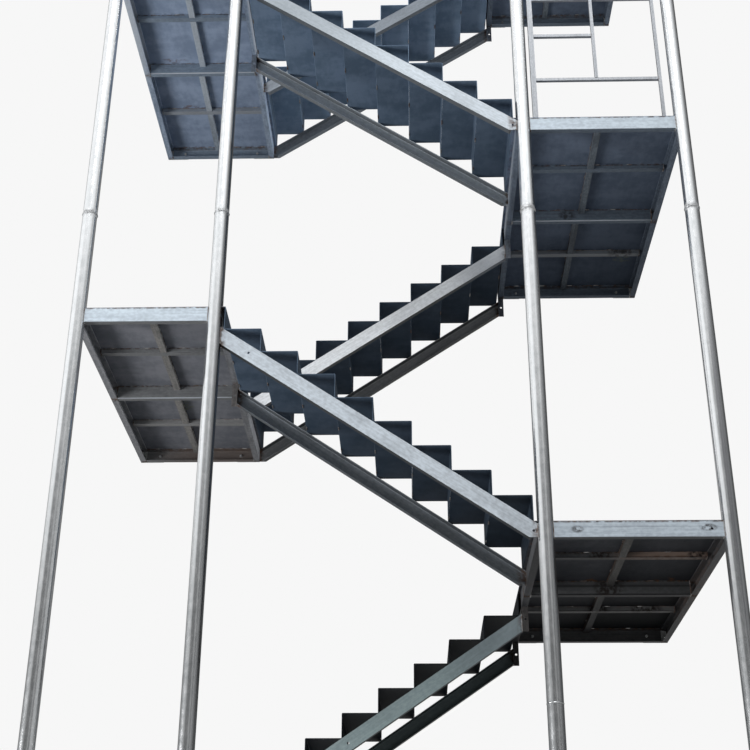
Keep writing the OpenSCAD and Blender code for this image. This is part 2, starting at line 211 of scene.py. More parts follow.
@dataclass
class Shading:
    """Builds the nodes of a material or a world. Methods that make a node return the socket to read."""

    owner: Union[bpy.types.Material, bpy.types.World]

    @classmethod
    def start(cls, owner: Union[bpy.types.Material, bpy.types.World]) -> Shading:
        """Empties a new material or world and makes it ready for nodes.

        Args:
            owner: The new material or world.

        Returns:
            Its builder.
        """
        owner.use_nodes = True
        owner.node_tree.nodes.clear()
        return cls(owner)

    @classmethod
    def paint(cls, name: str) -> Shading:
        """Builder of a new material of that name."""
        return cls.start(bpy.data.materials.new(name))

    def node(self, kind: str, feeds: dict[Key, object], **settings: object) -> bpy.types.NodeOutputs:
        """Adds a node, sets it and feeds its inputs with sockets or plain values.

        Args:
            kind: Blender's name of the node type, without the word that all begin with.
            feeds: Name or number of each input that is fed, and what it gets.
            settings: Attributes of the node and their values.

        Returns:
            The outputs of the new node.
        """
        tree = self.owner.node_tree
        made = tree.nodes.new("ShaderNode" + kind)
        for key, value in settings.items():
            setattr(made, key, value)
        for key, value in feeds.items():
            socket = made.inputs[key]
            if isinstance(value, bpy.types.NodeSocket):
                tree.links.new(value, socket)
            elif isinstance(value, tuple) and socket.type == "RGBA":
                socket.default_value = (*value, 1.0)
            else:
                socket.default_value = value
        return made.outputs

    def math(self, operation: str, first: Number, second: Number = 0.0, clamp: bool = False) -> Socket:
        """Result of one Math node, kept from 0 to 1 where it is clamped."""
        return self.node("Math", {0: first, 1: second}, operation=operation, use_clamp=clamp)[0]

    def times(self, first: Number, second: Number) -> Socket:
        """Product of two values."""
        return self.math("MULTIPLY", first, second)

    def plus(self, first: Number, second: Number, clamp: bool = False) -> Socket:
        """Sum of two values, kept from 0 to 1 where it is clamped."""
        return self.math("ADD", first, second, clamp)

    def minus(self, first: Number, second: Number) -> Socket:
        """First value less the second."""
        return self.math("SUBTRACT", first, second)

    def line(self, base: float, gain: float, value: Number) -> Socket:
        """Straight line: the base, and the gain times the value."""
        return self.plus(self.times(value, gain), base)

    def weigh(self, share: float, first: Number, second: Number) -> Socket:
        """Weighted sum: a share of the first value, and the rest of 1 of the second."""
        return self.plus(self.times(first, share), self.times(second, 1.0 - share))

    def ramp(self, value: Number, span: Span, results: Span = (0.0, 1.0), smooth: bool = True) -> Socket:
        """Carries a value from one span to another and holds it at the ends.

        Args:
            value: Value to carry.
            span: Values that give the first and the last result; the first may be the higher one.
            results: First and last result.
            smooth: Whether the ramp eases in and out, or runs straight.

        Returns:
            The result.
        """
        names = ("Value", "From Min", "From Max", "To Min", "To Max")
        ease = "SMOOTHSTEP" if smooth else "LINEAR"
        return self.node("MapRange", dict(zip(names, (value, *span, *results))), interpolation_type=ease)[0]

    def near(self, value: Number, centre: float, reach: float) -> Socket:
        """Mask of 1 where the value is centre, which falls to 0 at the distance reach."""
        return self.ramp(self.math("ABSOLUTE", self.minus(value, centre)), (reach, 0.0))

    def most(self, masks: Sequence[Socket]) -> Socket:
        """Largest of several masks, of which there is at least one."""
        return reduce(lambda best, mask: self.math("MAXIMUM", best, mask), masks)

    def mix(self, factor: Number, first: object, second: object) -> Socket:
        """Blends two colours or sockets; a factor of 0 gives the first, and 1 the second."""
        return self.node("Mix", {0: factor, 6: first, 7: second}, data_type="RGBA")[2]

    def blend(self, factor: Number, first: Number, second: Number) -> Socket:
        """Blends two values; a factor of 0 gives the first, and 1 the second."""
        return self.node("Mix", {0: factor, 2: first, 3: second}, data_type="FLOAT")[0]

    def dim(self, colour: object, share: object) -> Socket:
        """Multiplies a colour by a share, or by another colour, and keeps it within 0 to 1."""
        feeds = {0: 1.0, 6: colour, 7: (share,) * 3 if isinstance(share, float) else share}
        return self.node("Mix", feeds, data_type="RGBA", blend_type="MULTIPLY", clamp_result=True)[2]

    def grain(self, run: Run, pitch: float, lengths: Point, detail: float = 3.0) -> Socket:
        """Noise whose features have the given lengths along and across the way a piece runs.

        Args:
            run: Way in which the piece runs.
            pitch: Angle of a sloped piece, in radians.
            lengths: Feature size along the piece, across it level, and across it upright.
            detail: Octaves of the noise.

        Returns:
            The noise, about 0 to 1.
        """
        turn = {
            Run.ALONG_X: (0.0, 0.0, 0.0),
            Run.ALONG_Y: (0.0, 0.0, math.pi / 2),
            Run.ALONG_Z: (0.0, math.pi / 2, 0.0),
            Run.UP_RIGHT: (0.0, -pitch, 0.0),
            Run.UP_LEFT: (0.0, pitch, 0.0),
        }[run]
        feeds = {"Vector": self.node("TexCoord", {})["Object"], "Rotation": turn, "Scale": lengths}
        place = self.node("Mapping", feeds, vector_type="TEXTURE")[0]
        return self.node("TexNoise", {"Vector": place, "Scale": 1.0, "Detail": detail, "Roughness": 0.6})[0]

    def place(self) -> tuple[Socket, ...]:
        """X, Y and Z of the point in the tower's frame."""
        return tuple(self.node("SeparateXYZ", {0: self.node("TexCoord", {})["Object"]}))

    def facing(self, axis: str, span: Span, results: Span = (0.0, 1.0)) -> Socket:
        """Ramp over the part that the face's own normal has along x, y or z."""
        parts = self.node("SeparateXYZ", {0: self.node("NewGeometry", {})["True Normal"]})
        return self.ramp(parts["xyz".index(axis)], span, results)

    def seen(self) -> tuple[Socket, Socket]:
        """Masks of 1 for what is seen directly or through glass, and for that and what gloss shows.

        Returns:
            The two masks.
        """
        path = self.node("LightPath", {})
        direct = self.plus(path["Is Camera Ray"], path["Is Transmission Ray"])
        return direct, self.plus(direct, path["Is Glossy Ray"], clamp=True)

    def bump(self, height: Number, depth: float, before: Socket | None = None) -> Socket:
        """Turns a height from 0 to 1, which stands for the depth in metres, into a shading normal.

        Args:
            height: The height.
            depth: Height in metres that 1 stands for.
            before: Normal of an earlier bump.

        Returns:
            The bent normal.
        """
        feeds = {"Strength": 1.0, "Distance": depth, "Height": height}
        if before is not None:
            feeds["Normal"] = before
        return self.node("Bump", feeds)[0]

    def surface(
        self, colour: object, metallic: Number, roughness: Number,
        normal: Socket | None = None, specular: float = 0.5,
    ) -> bpy.types.Material:
        """Ends the material with its shader.

        Args:
            colour: Base colour or socket.
            metallic: Share of bare metal.
            roughness: Roughness of the gloss.
            normal: Bent normal, or none.
            specular: Strength of the gloss on what isn't metal.

        Returns:
            The finished material.
        """
        feeds = {"Base Color": colour, "Metallic": metallic, "Roughness": roughness}
        feeds["Specular IOR Level"] = specular
        if normal is not None:
            feeds["Normal"] = normal
        self.node("OutputMaterial", {"Surface": self.node("BsdfPrincipled", feeds)[0]})
        return self.owner


RUST: Colour = (0.105, 0.048, 0.022)
BURNT: Colour = (0.024, 0.020, 0.018)
# Painted shade: a near-black colour painted along under edges of beams and ribs where shade falls.
PAINTED_SHADE: Colour = (0.012, 0.012, 0.014)
# Painted light: a warm tint low down and a cool tint high up, over the heights of COOLING.
WARM: Colour = (1.10, 1.00, 0.93)
COOL: Colour = (0.91, 1.00, 1.13)
TINT_SPAN: Span = (0.38, 0.62)
UP_SPAN: Span = (0.7, 0.9)
DOWN_SPAN: Span = (-0.45, -0.75)
RIGHT_SPAN: Span = (0.5, 0.8)
COOLING: Span = (6.6, 8.2)
SHADE_ACROSS = 1.1
SHADE_BACK = 0.75
SHADE_CORNER = 0.10
# Width over which the painted shade of a piece's inner side sets in.
SHADE_EDGE = 0.003


def scaled(colour: Colour, share: float) -> Colour:
    """Plain colour times a share, with no part over 1."""
    return tuple(min(1.0, share * part) for part in colour)


@dataclass(frozen=True)
class Exposure:
    """Painted shade on a finish by place, on the outer and the inner side of a piece, and painted light and
    shade by the way its faces look.
    """

    share: float = 1.0
    least: float = 1.0
    start: float = -1.9
    end: float = 9.2
    tinted: bool = True
    # under is the share kept on faces that look down, a painted shade; rightward multiplies faces that look
    # right, a painted light above 1 and a painted shade below 1.
    under: float = 1.0
    rightward: float = 1.0

    def wash(self, shading: Shading, colour: Socket) -> Socket:
        """Paints light and shade into a colour by its place and by the way its face looks.

        The share of painted shade that is left climbs straight from least to 1 while z - 1.1 x - y (0.75 +
        0.10 x) climbs from start to end, in metres, so that the right, the back and the ground are the
        darkest. The tint of this painted light turns from warm to cool over the heights of COOLING. Faces
        that look down keep the share under, a painted shade, and faces that look right are multiplied by
        rightward, a painted light.

        Args:
            shading: Builder of the material.
            colour: The colour before its painted light and shade.

        Returns:
            The colour with its painted light and shade.
        """
        if self.least < 1.0:
            x, y, z = shading.place()
            slope = shading.line(SHADE_BACK, SHADE_CORNER, x)
            height = shading.minus(z, shading.times(x, SHADE_ACROSS))
            height = shading.minus(height, shading.times(y, slope))
            span = (self.start, self.end)
            colour = shading.dim(colour, shading.ramp(height, span, (self.least, 1.0), smooth=False))
            if self.tinted:
                colour = shading.dim(colour, shading.mix(shading.ramp(z, COOLING), WARM, COOL))
        if self.share < 1.0:
            colour = shading.dim(colour, self.share)
        if self.under < 1.0:
            colour = shading.dim(colour, shading.facing("z", DOWN_SPAN, (1.0, self.under)))
        if self.rightward != 1.0:
            colour = shading.dim(colour, shading.facing("x", RIGHT_SPAN, (1.0, self.rightward)))
        return colour


@dataclass(frozen=True)
class Stain:
    """Patch round one place: rust or burnt zinc, or else painted shade, painted light or painted
    reflection.
    """

    centre: Point
    reach: Point
    colour: Colour = RUST
    strength: float = 1.0
    broken: bool = True

    def paint(self, shading: Shading, colour: Socket, cloud: Socket) -> Socket:
        """Paints a soft ellipsoid, 1 in its middle and 0 where the scaled distance reaches 1.

        Args:
            shading: Builder of the material.
            colour: Colour below the patch.
            cloud: Mask that breaks the patch up, unless it is a whole one.

        Returns:
            The colour with the patch.
        """
        away: Number = 0.0
        for axis, middle, reach in zip(shading.place(), self.centre, self.reach):
            part = shading.math("DIVIDE", shading.minus(axis, middle), reach)
            away = shading.plus(away, shading.math("POWER", part, 2.0))
        mask = shading.ramp(away, (1.0, 0.1), (0.0, self.strength))
        if self.broken:
            mask = shading.times(mask, cloud)
        return shading.mix(mask, colour, self.colour)


@dataclass(frozen=True)
class Galvanised:
    """Hot-dip zinc on a rolled, drawn or cut piece, with spangle, streaks, dirt and burnt welds."""

    name: str
    run: Run
    light: Colour
    dark: Colour
    metallic: float
    roughness: float
    spangle: float = 0.02
    streak: float = 0.5
    dirt: float = 0.35
    pitch: float = 0.0
    specular: float = 0.5
    relief: float = 0.0006
    # Painted shade on the outer side, and a darker painted shade on the inner side, from a place along Y
    # on.
    exposed: Exposure = Exposure()
    sheltered: Exposure = Exposure()
    sheltered_from: float | None = None
    weld_x: tuple[float, ...] = ()
    weld_y: tuple[float, ...] = ()
    weld_z: tuple[float, ...] = ()
    weld_reach: float = 0.035
    weld_tint: Colour = RUST
    stains: tuple[Stain, ...] = ()
    streak_width: float = 0.012
    blotch: Point = (0.45, 0.16, 0.16)
    soil_span: Span = (0.48, 0.72)
    soil_share: float = 0.42
    fine: Point = (0.012, 0.008, 0.008)
    scale_span: Span = (0.4, 0.62)
    clump: Point = (0.035, 0.035, 0.035)
    clump_span: Span = (0.36, 0.6)

    def make(self) -> bpy.types.Material:
        """Makes the material: two zinc tints mixed by spangle and streaks, then painted shade, welds, and
        stains and patches of painted light.

        Returns:
            The material.
        """
        shading = Shading.paint(self.name)
        spangle = shading.grain(self.run, self.pitch, (self.spangle * 1.6, self.spangle, self.spangle))
        width = self.streak_width
        streak = shading.grain(self.run, self.pitch, (self.streak, width, width), detail=4.0)
        blotch = shading.grain(self.run, self.pitch, self.blotch, detail=4.0)
        fine = shading.grain(self.run, self.pitch, self.fine, detail=5.0)
        cloud = shading.ramp(shading.grain(Run.ALONG_X, 0.0, self.clump, detail=6.0), self.clump_span)
        tint = shading.weigh(0.55, spangle, streak)
        colour = shading.mix(shading.ramp(tint, TINT_SPAN), self.dark, self.light)
        soil = shading.ramp(blotch, self.soil_span, (0.0, self.dirt))
        colour = shading.mix(soil, colour, scaled(self.dark, self.soil_share))
        # Painted shade: the outer side's, and beyond the edge along Y the darker inner side's.
        open_side = self.exposed.wash(shading, colour)
        if self.sheltered_from is not None:
            edge = (self.sheltered_from, self.sheltered_from + SHADE_EDGE)
            inside = shading.ramp(shading.place()[1], edge)
            colour = shading.mix(inside, open_side, self.sheltered.wash(shading, colour))
        else:
            colour = open_side
        metal: Number = self.metallic
        rough = shading.line(self.roughness - 0.08, 0.16, spangle)
        welds = self.welds(shading)
        if welds is not None:
            burnt = shading.times(welds, cloud)
            scale = shading.mix(shading.ramp(fine, self.scale_span), BURNT, self.weld_tint)
            colour = shading.mix(burnt, colour, scale)
            metal = shading.times(shading.minus(1.0, burnt), self.metallic)
            rough = shading.plus(rough, shading.times(burnt, 0.35), clamp=True)
        for stain_or_light in self.stains:
            colour = stain_or_light.paint(shading, colour, cloud)
        normal = shading.bump(shading.weigh(0.6, spangle, fine), self.relief)
        return shading.surface(colour, metal, rough, normal, self.specular)

    def welds(self, shading: Shading) -> Socket | None:
        """Mask of what lies near the weld lines.

        Args:
            shading: Builder of the material.

        Returns:
            The mask, or none for a finish without welds.
        """
        along = dict(zip("xyz", shading.place()))
        masks = [
            shading.near(along[axis], line, self.weld_reach)
            for axis, lines in (("x", self.weld_x), ("y", self.weld_y), ("z", self.weld_z))
            for line in lines
        ]
        return shading.most(masks) if masks else None


@dataclass(frozen=True)
class DarkPlate:
    """Dark blue grey steel plate with scale, weld burns below and a worn chequer above."""

    name: str
    light: Colour
    dark: Colour
    roughness: float = 0.5
    exposed: Exposure = Exposure(least=0.2)
    burn_x: tuple[float, ...] = ()
    burn_y: tuple[float, ...] = ()
    burn_reach: float = 0.03
    burn_strength: float = 0.55
    stains: tuple[Stain, ...] = ()
    chequer: float = 0.030
    top_share: float = 0.45
    cloud: Point = (0.35, 0.22, 0.22)
    patch: Point = (0.09, 0.05, 0.05)
    rust_span: Span = (0.5, 0.7)
    dash: Point = (0.06, 0.045, 0.06)
    dash_span: Span = (0.44, 0.62)
    bar_height: float = 0.0016
    worn: float = 2.2

    def make(self) -> bpy.types.Material:
        """Makes the material: clouded plate with painted shade on all but its top faces, burns along the
        weld lines, and bars on the top side.

        Returns:
            The material.
        """
        shading = Shading.paint(self.name)
        cloud = shading.grain(Run.ALONG_X, 0.0, self.cloud, detail=5.0)
        patch = shading.grain(Run.ALONG_Y, 0.0, self.patch, detail=4.0)
        tint = shading.weigh(0.7, cloud, patch)
        colour = shading.mix(shading.ramp(tint, TINT_SPAN), self.dark, self.light)
        upward = shading.facing("z", UP_SPAN)
        top = shading.dim(colour, self.top_share)
        # Painted shade on all faces but the top ones.
        colour = shading.mix(upward, self.exposed.wash(shading, colour), top)
        x, y, _ = shading.place()
        lines = [shading.near(x, line, self.burn_reach) for line in self.burn_x]
        lines += [shading.near(y, line, self.burn_reach) for line in self.burn_y]
        dashes = shading.ramp(shading.grain(Run.ALONG_X, 0.0, self.dash, detail=4.0), self.dash_span)
        if lines:
            burn = shading.times(shading.times(shading.most(lines), dashes), self.burn_strength)
            scale = shading.mix(shading.ramp(patch, self.rust_span), BURNT, RUST)
            colour = shading.mix(burn, colour, scale)
        for stain_or_light in self.stains:
            colour = stain_or_light.paint(shading, colour, dashes)
        bars = shading.times(self.bars(shading, x, y), upward)
        colour = shading.mix(shading.times(bars, 0.5), colour, scaled(self.light, self.worn))
        rough = shading.line(self.roughness - 0.1, 0.2, cloud)
        normal = shading.bump(bars, self.bar_height)
        normal = shading.bump(shading.times(patch, 0.5), self.bar_height / 2, normal)
        return shading.surface(colour, 0.0, rough, normal, specular=0.03)

    def bars(self, shading: Shading, x: Socket, y: Socket) -> Socket:
        """Chequer of raised bars: product of two sine waves along the diagonals, cut to lozenges.

        Args:
            shading: Builder of the material.
            x: Coordinate along X.
            y: Coordinate along Y.

        Returns:
            The mask of the bars.
        """
        turns = math.tau / self.chequer
        along = shading.times(shading.plus(x, y), turns)
        across = shading.times(shading.minus(x, y), turns / 2)
        wave = shading.times(shading.math("SINE", along), shading.math("SINE", across))
        return shading.ramp(wave, (0.45, 0.75))


@dataclass(frozen=True)
class WeldMetal:
    """Weld bead: rippled steel, partly rusty and partly bright with spatter."""

    name: str
    bare: Colour = (0.30, 0.30, 0.30)
    rusty: float = 0.5
    edge: float = 0.12
    cloud: Point = (0.05, 0.05, 0.05)
    fine: Point = (0.006, 0.006, 0.006)

    def make(self) -> bpy.types.Material:
        """Makes the material: bare steel mixed with rust by noise.

        Returns:
            The material.
        """
        shading = Shading.paint(self.name)
        cloud = shading.grain(Run.ALONG_X, 0.0, self.cloud, detail=5.0)
        fine = shading.grain(Run.ALONG_X, 0.0, self.fine, detail=3.0)
        rust = shading.ramp(cloud, (1.0 - self.rusty - self.edge, 1.0 - self.rusty + self.edge))
        colour = shading.mix(rust, self.bare, shading.mix(fine, BURNT, RUST))
        metal = shading.times(shading.minus(1.0, rust), 0.8)
        rough = shading.line(0.4, 0.35, rust)
        return shading.surface(colour, metal, rough, shading.bump(fine, 0.0008))


@dataclass(frozen=True)
class BoltZinc:
    """Bright zinc of nuts, washers and studs, dull in the threads."""

    name: str
    colour: Colour = (0.56, 0.57, 0.58)
    wear: Point = (0.01, 0.006, 0.006)

    def make(self) -> bpy.types.Material:
        """Makes the material: bright zinc with fine wear.

        Returns:
            The material.
        """
        shading = Shading.paint(self.name)
        wear = shading.grain(Run.ALONG_Z, 0.0, self.wear, detail=4.0)
        colour = shading.mix(shading.ramp(wear, (0.35, 0.65)), scaled(self.colour, 0.6), self.colour)
        rough = shading.line(0.3, 0.2, wear)
        return shading.surface(colour, 0.85, rough, shading.bump(wear, 0.0003))


@dataclass
class Surface:
    """Vertices and faces that grow by whole arrays until they become one mesh."""

    points: list[np.ndarray]
    faces: list[np.ndarray]
    count: int = 0

    @classmethod
    def empty(cls) -> Surface:
        """Surface without points or faces."""
        return cls([], [])

    def add_grid(self, grid: np.ndarray) -> None:
        """Adds a closed tube: rings of points whose first and last ring shrink to a pole.

        Args:
            grid: Array of rings, points of a ring and coordinates, which wind so that faces look out.
        """
        rings, sides, _ = grid.shape
        index = np.arange(rings * sides).reshape(rings, sides) + self.count
        right = np.roll(index, -1, axis=1)
        quads = np.stack([index[:-1], right[:-1], right[1:], index[1:]], axis=-1).reshape(-1, 4)
        first = index[0][::-1].reshape(1, -1)
        final = index[-1].reshape(1, -1)
        self.points.append(grid.reshape(-1, 3))
        self.faces.extend([quads, first, final])
        self.count += rings * sides

    def add_beads(self, bead: Bead, lines: Iterable[tuple[Point, Point]]) -> None:
        """Adds one bead along each straight line, from its start to its end."""
        for start, end in lines:
            self.add_grid(bead.line(start, end))

    def piece(self, name: str, material: bpy.types.Material, slot: str, smooth: float = 40.0) -> None:
        """Makes the object and rides it on the frame.

        Args:
            name: Name of the piece.
            material: Its finish.
            slot: Not used.
            smooth: Angle in degrees up to which edges are shaded smooth.
        """
        mesh = bpy.data.meshes.new(name)
        faces = [face for block in self.faces for face in block.tolist()]
        mesh.from_pydata(np.concatenate(self.points).tolist(), [], faces)
        mesh.validate()
        mesh.materials.append(material)
        mesh.shade_smooth()
        mesh.set_sharp_from_angle(angle=math.radians(smooth))
        made = bpy.data.objects.new(name, mesh)
        bpy.context.scene.collection.objects.link(made)
        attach(made, BODY)
        LOG.info("%s: %d vertices, %d faces", name, len(mesh.vertices), len(mesh.polygons))


def circle(sides: int, side: np.ndarray, rise: np.ndarray) -> np.ndarray:
    """Unit circle round each point: cosine of the turn times side, plus its sine times rise."""
    turn = np.linspace(0.0, math.tau, sides, endpoint=False)[:, None]
    return np.cos(turn) * side[..., None, :] + np.sin(turn) * rise[..., None, :]


@dataclass(frozen=True)
class Bead:
    """Weld bead: a rippled round bar along a path, half sunk in the joint."""

    radius: float = 0.005
    ripple: float = 0.16
    step: float = 0.004
    sides: int = 6
    tip: float = 0.35
    neck: float = 0.85

    def line(self, start: Sequence[float], end: Sequence[float]) -> np.ndarray:
        """Bead along a straight line, with its rings at equal steps from the start to the end.

        Args:
            start: First point.
            end: Last point.

        Returns:
            Rings of points for a closed tube.
        """
        first, last = np.asarray(start, float), np.asarray(end, float)
        count = max(4, int(round(np.linalg.norm(last - first) / self.step)))
        share = np.linspace(0.0, 1.0, count + 1)[:, None]
        return self.sweep(first + share * (last - first))

    def sweep(self, path: np.ndarray, closed: bool = False) -> np.ndarray:
        """Carries a circle along the path; its radius swells at every second point, and the ends shrink.

        Args:
            path: Points of the path.
            closed: Whether the path comes back to its start.

        Returns:
            Rings of points for a closed tube.
        """
        ahead = np.gradient(path, axis=0)
        ahead /= np.linalg.norm(ahead, axis=1, keepdims=True)
        helper = np.where(np.abs(ahead[:, 2:3]) > 0.9, [[1.0, 0.0, 0.0]], [[0.0, 0.0, 1.0]])
        side = np.cross(helper, ahead)
        side /= np.linalg.norm(side, axis=1, keepdims=True)
        size = self.radius * (1.0 + self.ripple * (np.arange(len(path)) % 2))
        if not closed:
            size[[0, -1]] *= self.tip
            size[[1, -2]] *= self.neck
        return path[:, None] + size[:, None, None] * circle(self.sides, side, np.cross(ahead, side))

    def ring(self, centre: Point, radius: float, start: float = 0.0, end: float = 360.0) -> np.ndarray:
        """Bead along a level arc: the radius times cosine and sine of the angle, at equal steps.

        Args:
            centre: Centre of the arc.
            radius: Radius of the arc.
            start: First angle in degrees, from +X.
            end: Last angle in degrees.

        Returns:
            Rings of points for a closed tube.
        """
        length = abs(math.radians(end - start)) * radius
        turn = np.radians(np.linspace(start, end, max(6, int(round(length / self.step))) + 1))
        path = np.stack([np.cos(turn) * radius, np.sin(turn) * radius, np.zeros_like(turn)], axis=-1)
        return self.sweep(path + np.asarray(centre, float), closed=end - start >= 360.0)


@dataclass(frozen=True)
class NutAndStud:
    """Washer, hexagonal nut and the end of a stud, turned as one closed surface."""

    bolt_radius: float
    points: int = 24
    flats: float = 1.6

    def grid(self, base: Sequence[float], axis: Sequence[float]) -> np.ndarray:
        """Surface of the fastener, from its outline of heights and radii in bolt radii.

        At each turn the radius follows the outline, and on the nut's rings it is the least of the
        hexagon's radius and the chamfer's circle.

        Args:
            base: Point on the plate at the middle of the hole.
            axis: Unit vector along Y or Z that points away from the plate.

        Returns:
            Rings of points for a closed tube.
        """
        corner = self.flats * 1.155
        washer = [(0.0, 2.0, False), (0.35, 2.0, False)]
        nut = [(0.35, 1.75, True), (0.6, corner, True), (1.75, corner, True), (2.0, self.flats, True)]
        stud = [(2.0, 1.0, False), (2.9, 1.0, False), (3.05, 0.85, False)]
        rise, limit, hexed = (np.array(column) for column in zip(*washer, *nut, *stud))
        turn = np.linspace(0.0, math.tau, self.points, endpoint=False)
        flat = self.flats / np.cos((turn + math.pi / 6) % (math.pi / 3) - math.pi / 6)
        size = np.where(hexed[:, None], np.minimum(limit[:, None], flat[None, :]), limit[:, None])
        out = np.asarray(axis, float)
        side = np.cross(out, (1.0, 0.0, 0.0))
        steps = rise[:, None, None] * out + size[..., None] * circle(self.points, side, np.cross(out, side))
        return np.asarray(base, float) + self.bolt_radius * steps


def dress(frame: dict, finish: Union[Galvanised, DarkPlate], names: Iterable[str]) -> None:
    """Gives solids of the frame a finish in place of their plain one.

    Args:
        frame: The loaded frame.
        finish: The finish.
        names: Names of the nodes that get it.
    """
    material = finish.make()
    for name in names:
        worn = frame["nodes"][name].data.materials
        worn.clear()
        worn.append(material)
        LOG.info("%s wears %s", name, material.name)


def numbered(pattern: str, numbers: Iterable[int] = LEVELS) -> list[str]:
    """Names of the nodes that have these numbers in the pattern."""
    return [pattern.format(number) for number in numbers]


def mirror_pairs(low: float, high: float) -> tuple[tuple[float, int], tuple[float, int]]:
    """Two ends of a span, each with the sign that points into the span."""
    return (low, 1), (high, -1)


@dataclass(frozen=True)
class StringerLook:
    """Zinc tones of one flight's stringers, lighter or darker per flight as painted light, with painted
    shade on the inner side and below.
    """

    light: Colour
    dark: Colour
    shelter: float
    # Shares kept on faces that look down, outside and inside: painted shade.
    under: float = 0.10
    under_inside: float = 0.35
    stains: tuple[Stain, ...] = ()


# Tones of the stringers, lighter or darker from flight to flight as painted light and shade; and the
# stained places of each kind of piece, among them patches of painted shade, painted light and painted
# reflection
BROWN: Colour = (0.10, 0.072, 0.060)
PAINTED_LIGHT: Colour = (0.50, 0.54, 0.59)
STRINGER_LOOKS: dict[int, StringerLook] = {
    1: StringerLook((0.30, 0.36, 0.37), (0.24, 0.29, 0.30), 0.40),
    2: StringerLook((0.48, 0.52, 0.56), (0.37, 0.40, 0.43), 0.50),
    3: StringerLook((0.29, 0.36, 0.37), (0.23, 0.29, 0.30), 0.33, stains=(
        # Painted shade at the upper end of the front stringer, under the landing.
        Stain((3.3, 1.54, 4.8), (0.9, 0.2, 1.0), (0.12, 0.135, 0.16), 0.45, broken=False),
    )),
    4: StringerLook((0.46, 0.51, 0.56), (0.35, 0.385, 0.42), 0.58, stains=(
        Stain((3.22, 1.0, 4.95), (0.07, 0.1, 0.25), BROWN, 0.8),
        Stain((1.06, 1.0, 6.45), (0.05, 0.1, 0.25), BROWN, 0.7),
    )),
    5: StringerLook((0.82, 0.85, 0.88), (0.66, 0.685, 0.71), 0.30, stains=(
        # Painted shade at the upper end of the front stringer, under the landing.
        Stain((3.3, 1.54, 8.05), (0.7, 0.1, 0.7), (0.16, 0.18, 0.21), 0.65, broken=False),
    )),
    6: StringerLook((0.48, 0.53, 0.58), (0.38, 0.42, 0.455), 1.0, under=0.25, stains=(
        # Painted shade over the upper end of the front stringer.
        Stain((1.0, -0.025, 9.95), (2.1, 0.2, 1.7), (0.08, 0.095, 0.11), 0.5, broken=False),
        Stain((3.22, -0.02, 8.2), (0.07, 0.05, 0.25), BROWN, 0.7),
    )),
    7: StringerLook((0.195, 0.22, 0.25), (0.15, 0.17, 0.195), 1.0, under=0.9, under_inside=1.0),
}
# Painted reflection: dark streaks down the posts' sides, where the zinc mirrors shade.
PAINTED_DARK_REFLECTION: Colour = (0.28, 0.29, 0.30)
POST_STAINS_AND_PAINTED_REFLECTION: dict[int, tuple[Stain, ...]] = {
    1: (
        Stain((1.049, -0.01, 6.4), (0.045, 0.08, 12.0), PAINTED_DARK_REFLECTION, broken=False),
        Stain((1.049, 0.0, 6.53), (0.03, 0.06, 0.16), RUST, 0.9),
        Stain((1.04, 0.0, 8.0), (0.03, 0.06, 0.1), BROWN, 0.5),
    ),
    2: (
        Stain((3.338, -0.02, 3.5), (0.055, 0.07, 9.0), PAINTED_DARK_REFLECTION, broken=False),
        Stain((3.23, 0.0, 8.2), (0.03, 0.06, 0.12), RUST, 0.8),
        Stain((3.284, 0.0, 3.75), (0.12, 0.12, 0.009), (0.40, 0.41, 0.42), 0.9, broken=False),
    ),
    3: (
        Stain((4.555, -0.03, 6.4), (0.065, 0.06, 12.0), PAINTED_DARK_REFLECTION, broken=False),
        # Painted reflection: a grey streak down the front of the post.
        Stain((4.512, -0.054, 5.4), (0.025, 0.03, 1.6), (0.40, 0.41, 0.43), broken=False),
    ),
}
SIDE_BEAM_STAINS_AND_PAINTED_LIGHT: tuple[Stain, ...] = (
    Stain((4.5, 1.2, 4.89), (0.08, 1.4, 0.08), BROWN, 0.7),
    Stain((3.25, 1.0, 4.89), (0.06, 0.12, 0.08), BROWN, 0.8),
    # Painted shade along the under edge of the inner side beam of the right landing at 4.95 m.
    Stain((3.26, 0.4, 4.836), (0.08, 1.0, 0.02), PAINTED_SHADE, 0.9, broken=False),
    Stain((3.26, 2.2, 4.836), (0.08, 0.6, 0.02), PAINTED_SHADE, 0.9, broken=False),
    Stain((1.03, 1.0, 6.54), (0.07, 0.16, 0.08), BROWN, 0.9),
    # Painted light on side faces of the side beams of the landings at 8.25 and 9.9 m.
    Stain((3.23, 1.1, 8.19), (0.02, 1.3, 0.09), PAINTED_LIGHT, 0.4, broken=False),
    Stain((0.0, 0.5, 9.84), (0.08, 1.2, 0.12), PAINTED_LIGHT, 0.7, broken=False),
    Stain((1.05, 0.7, 9.84), (0.03, 1.1, 0.12), PAINTED_LIGHT, 0.9, broken=False),
)
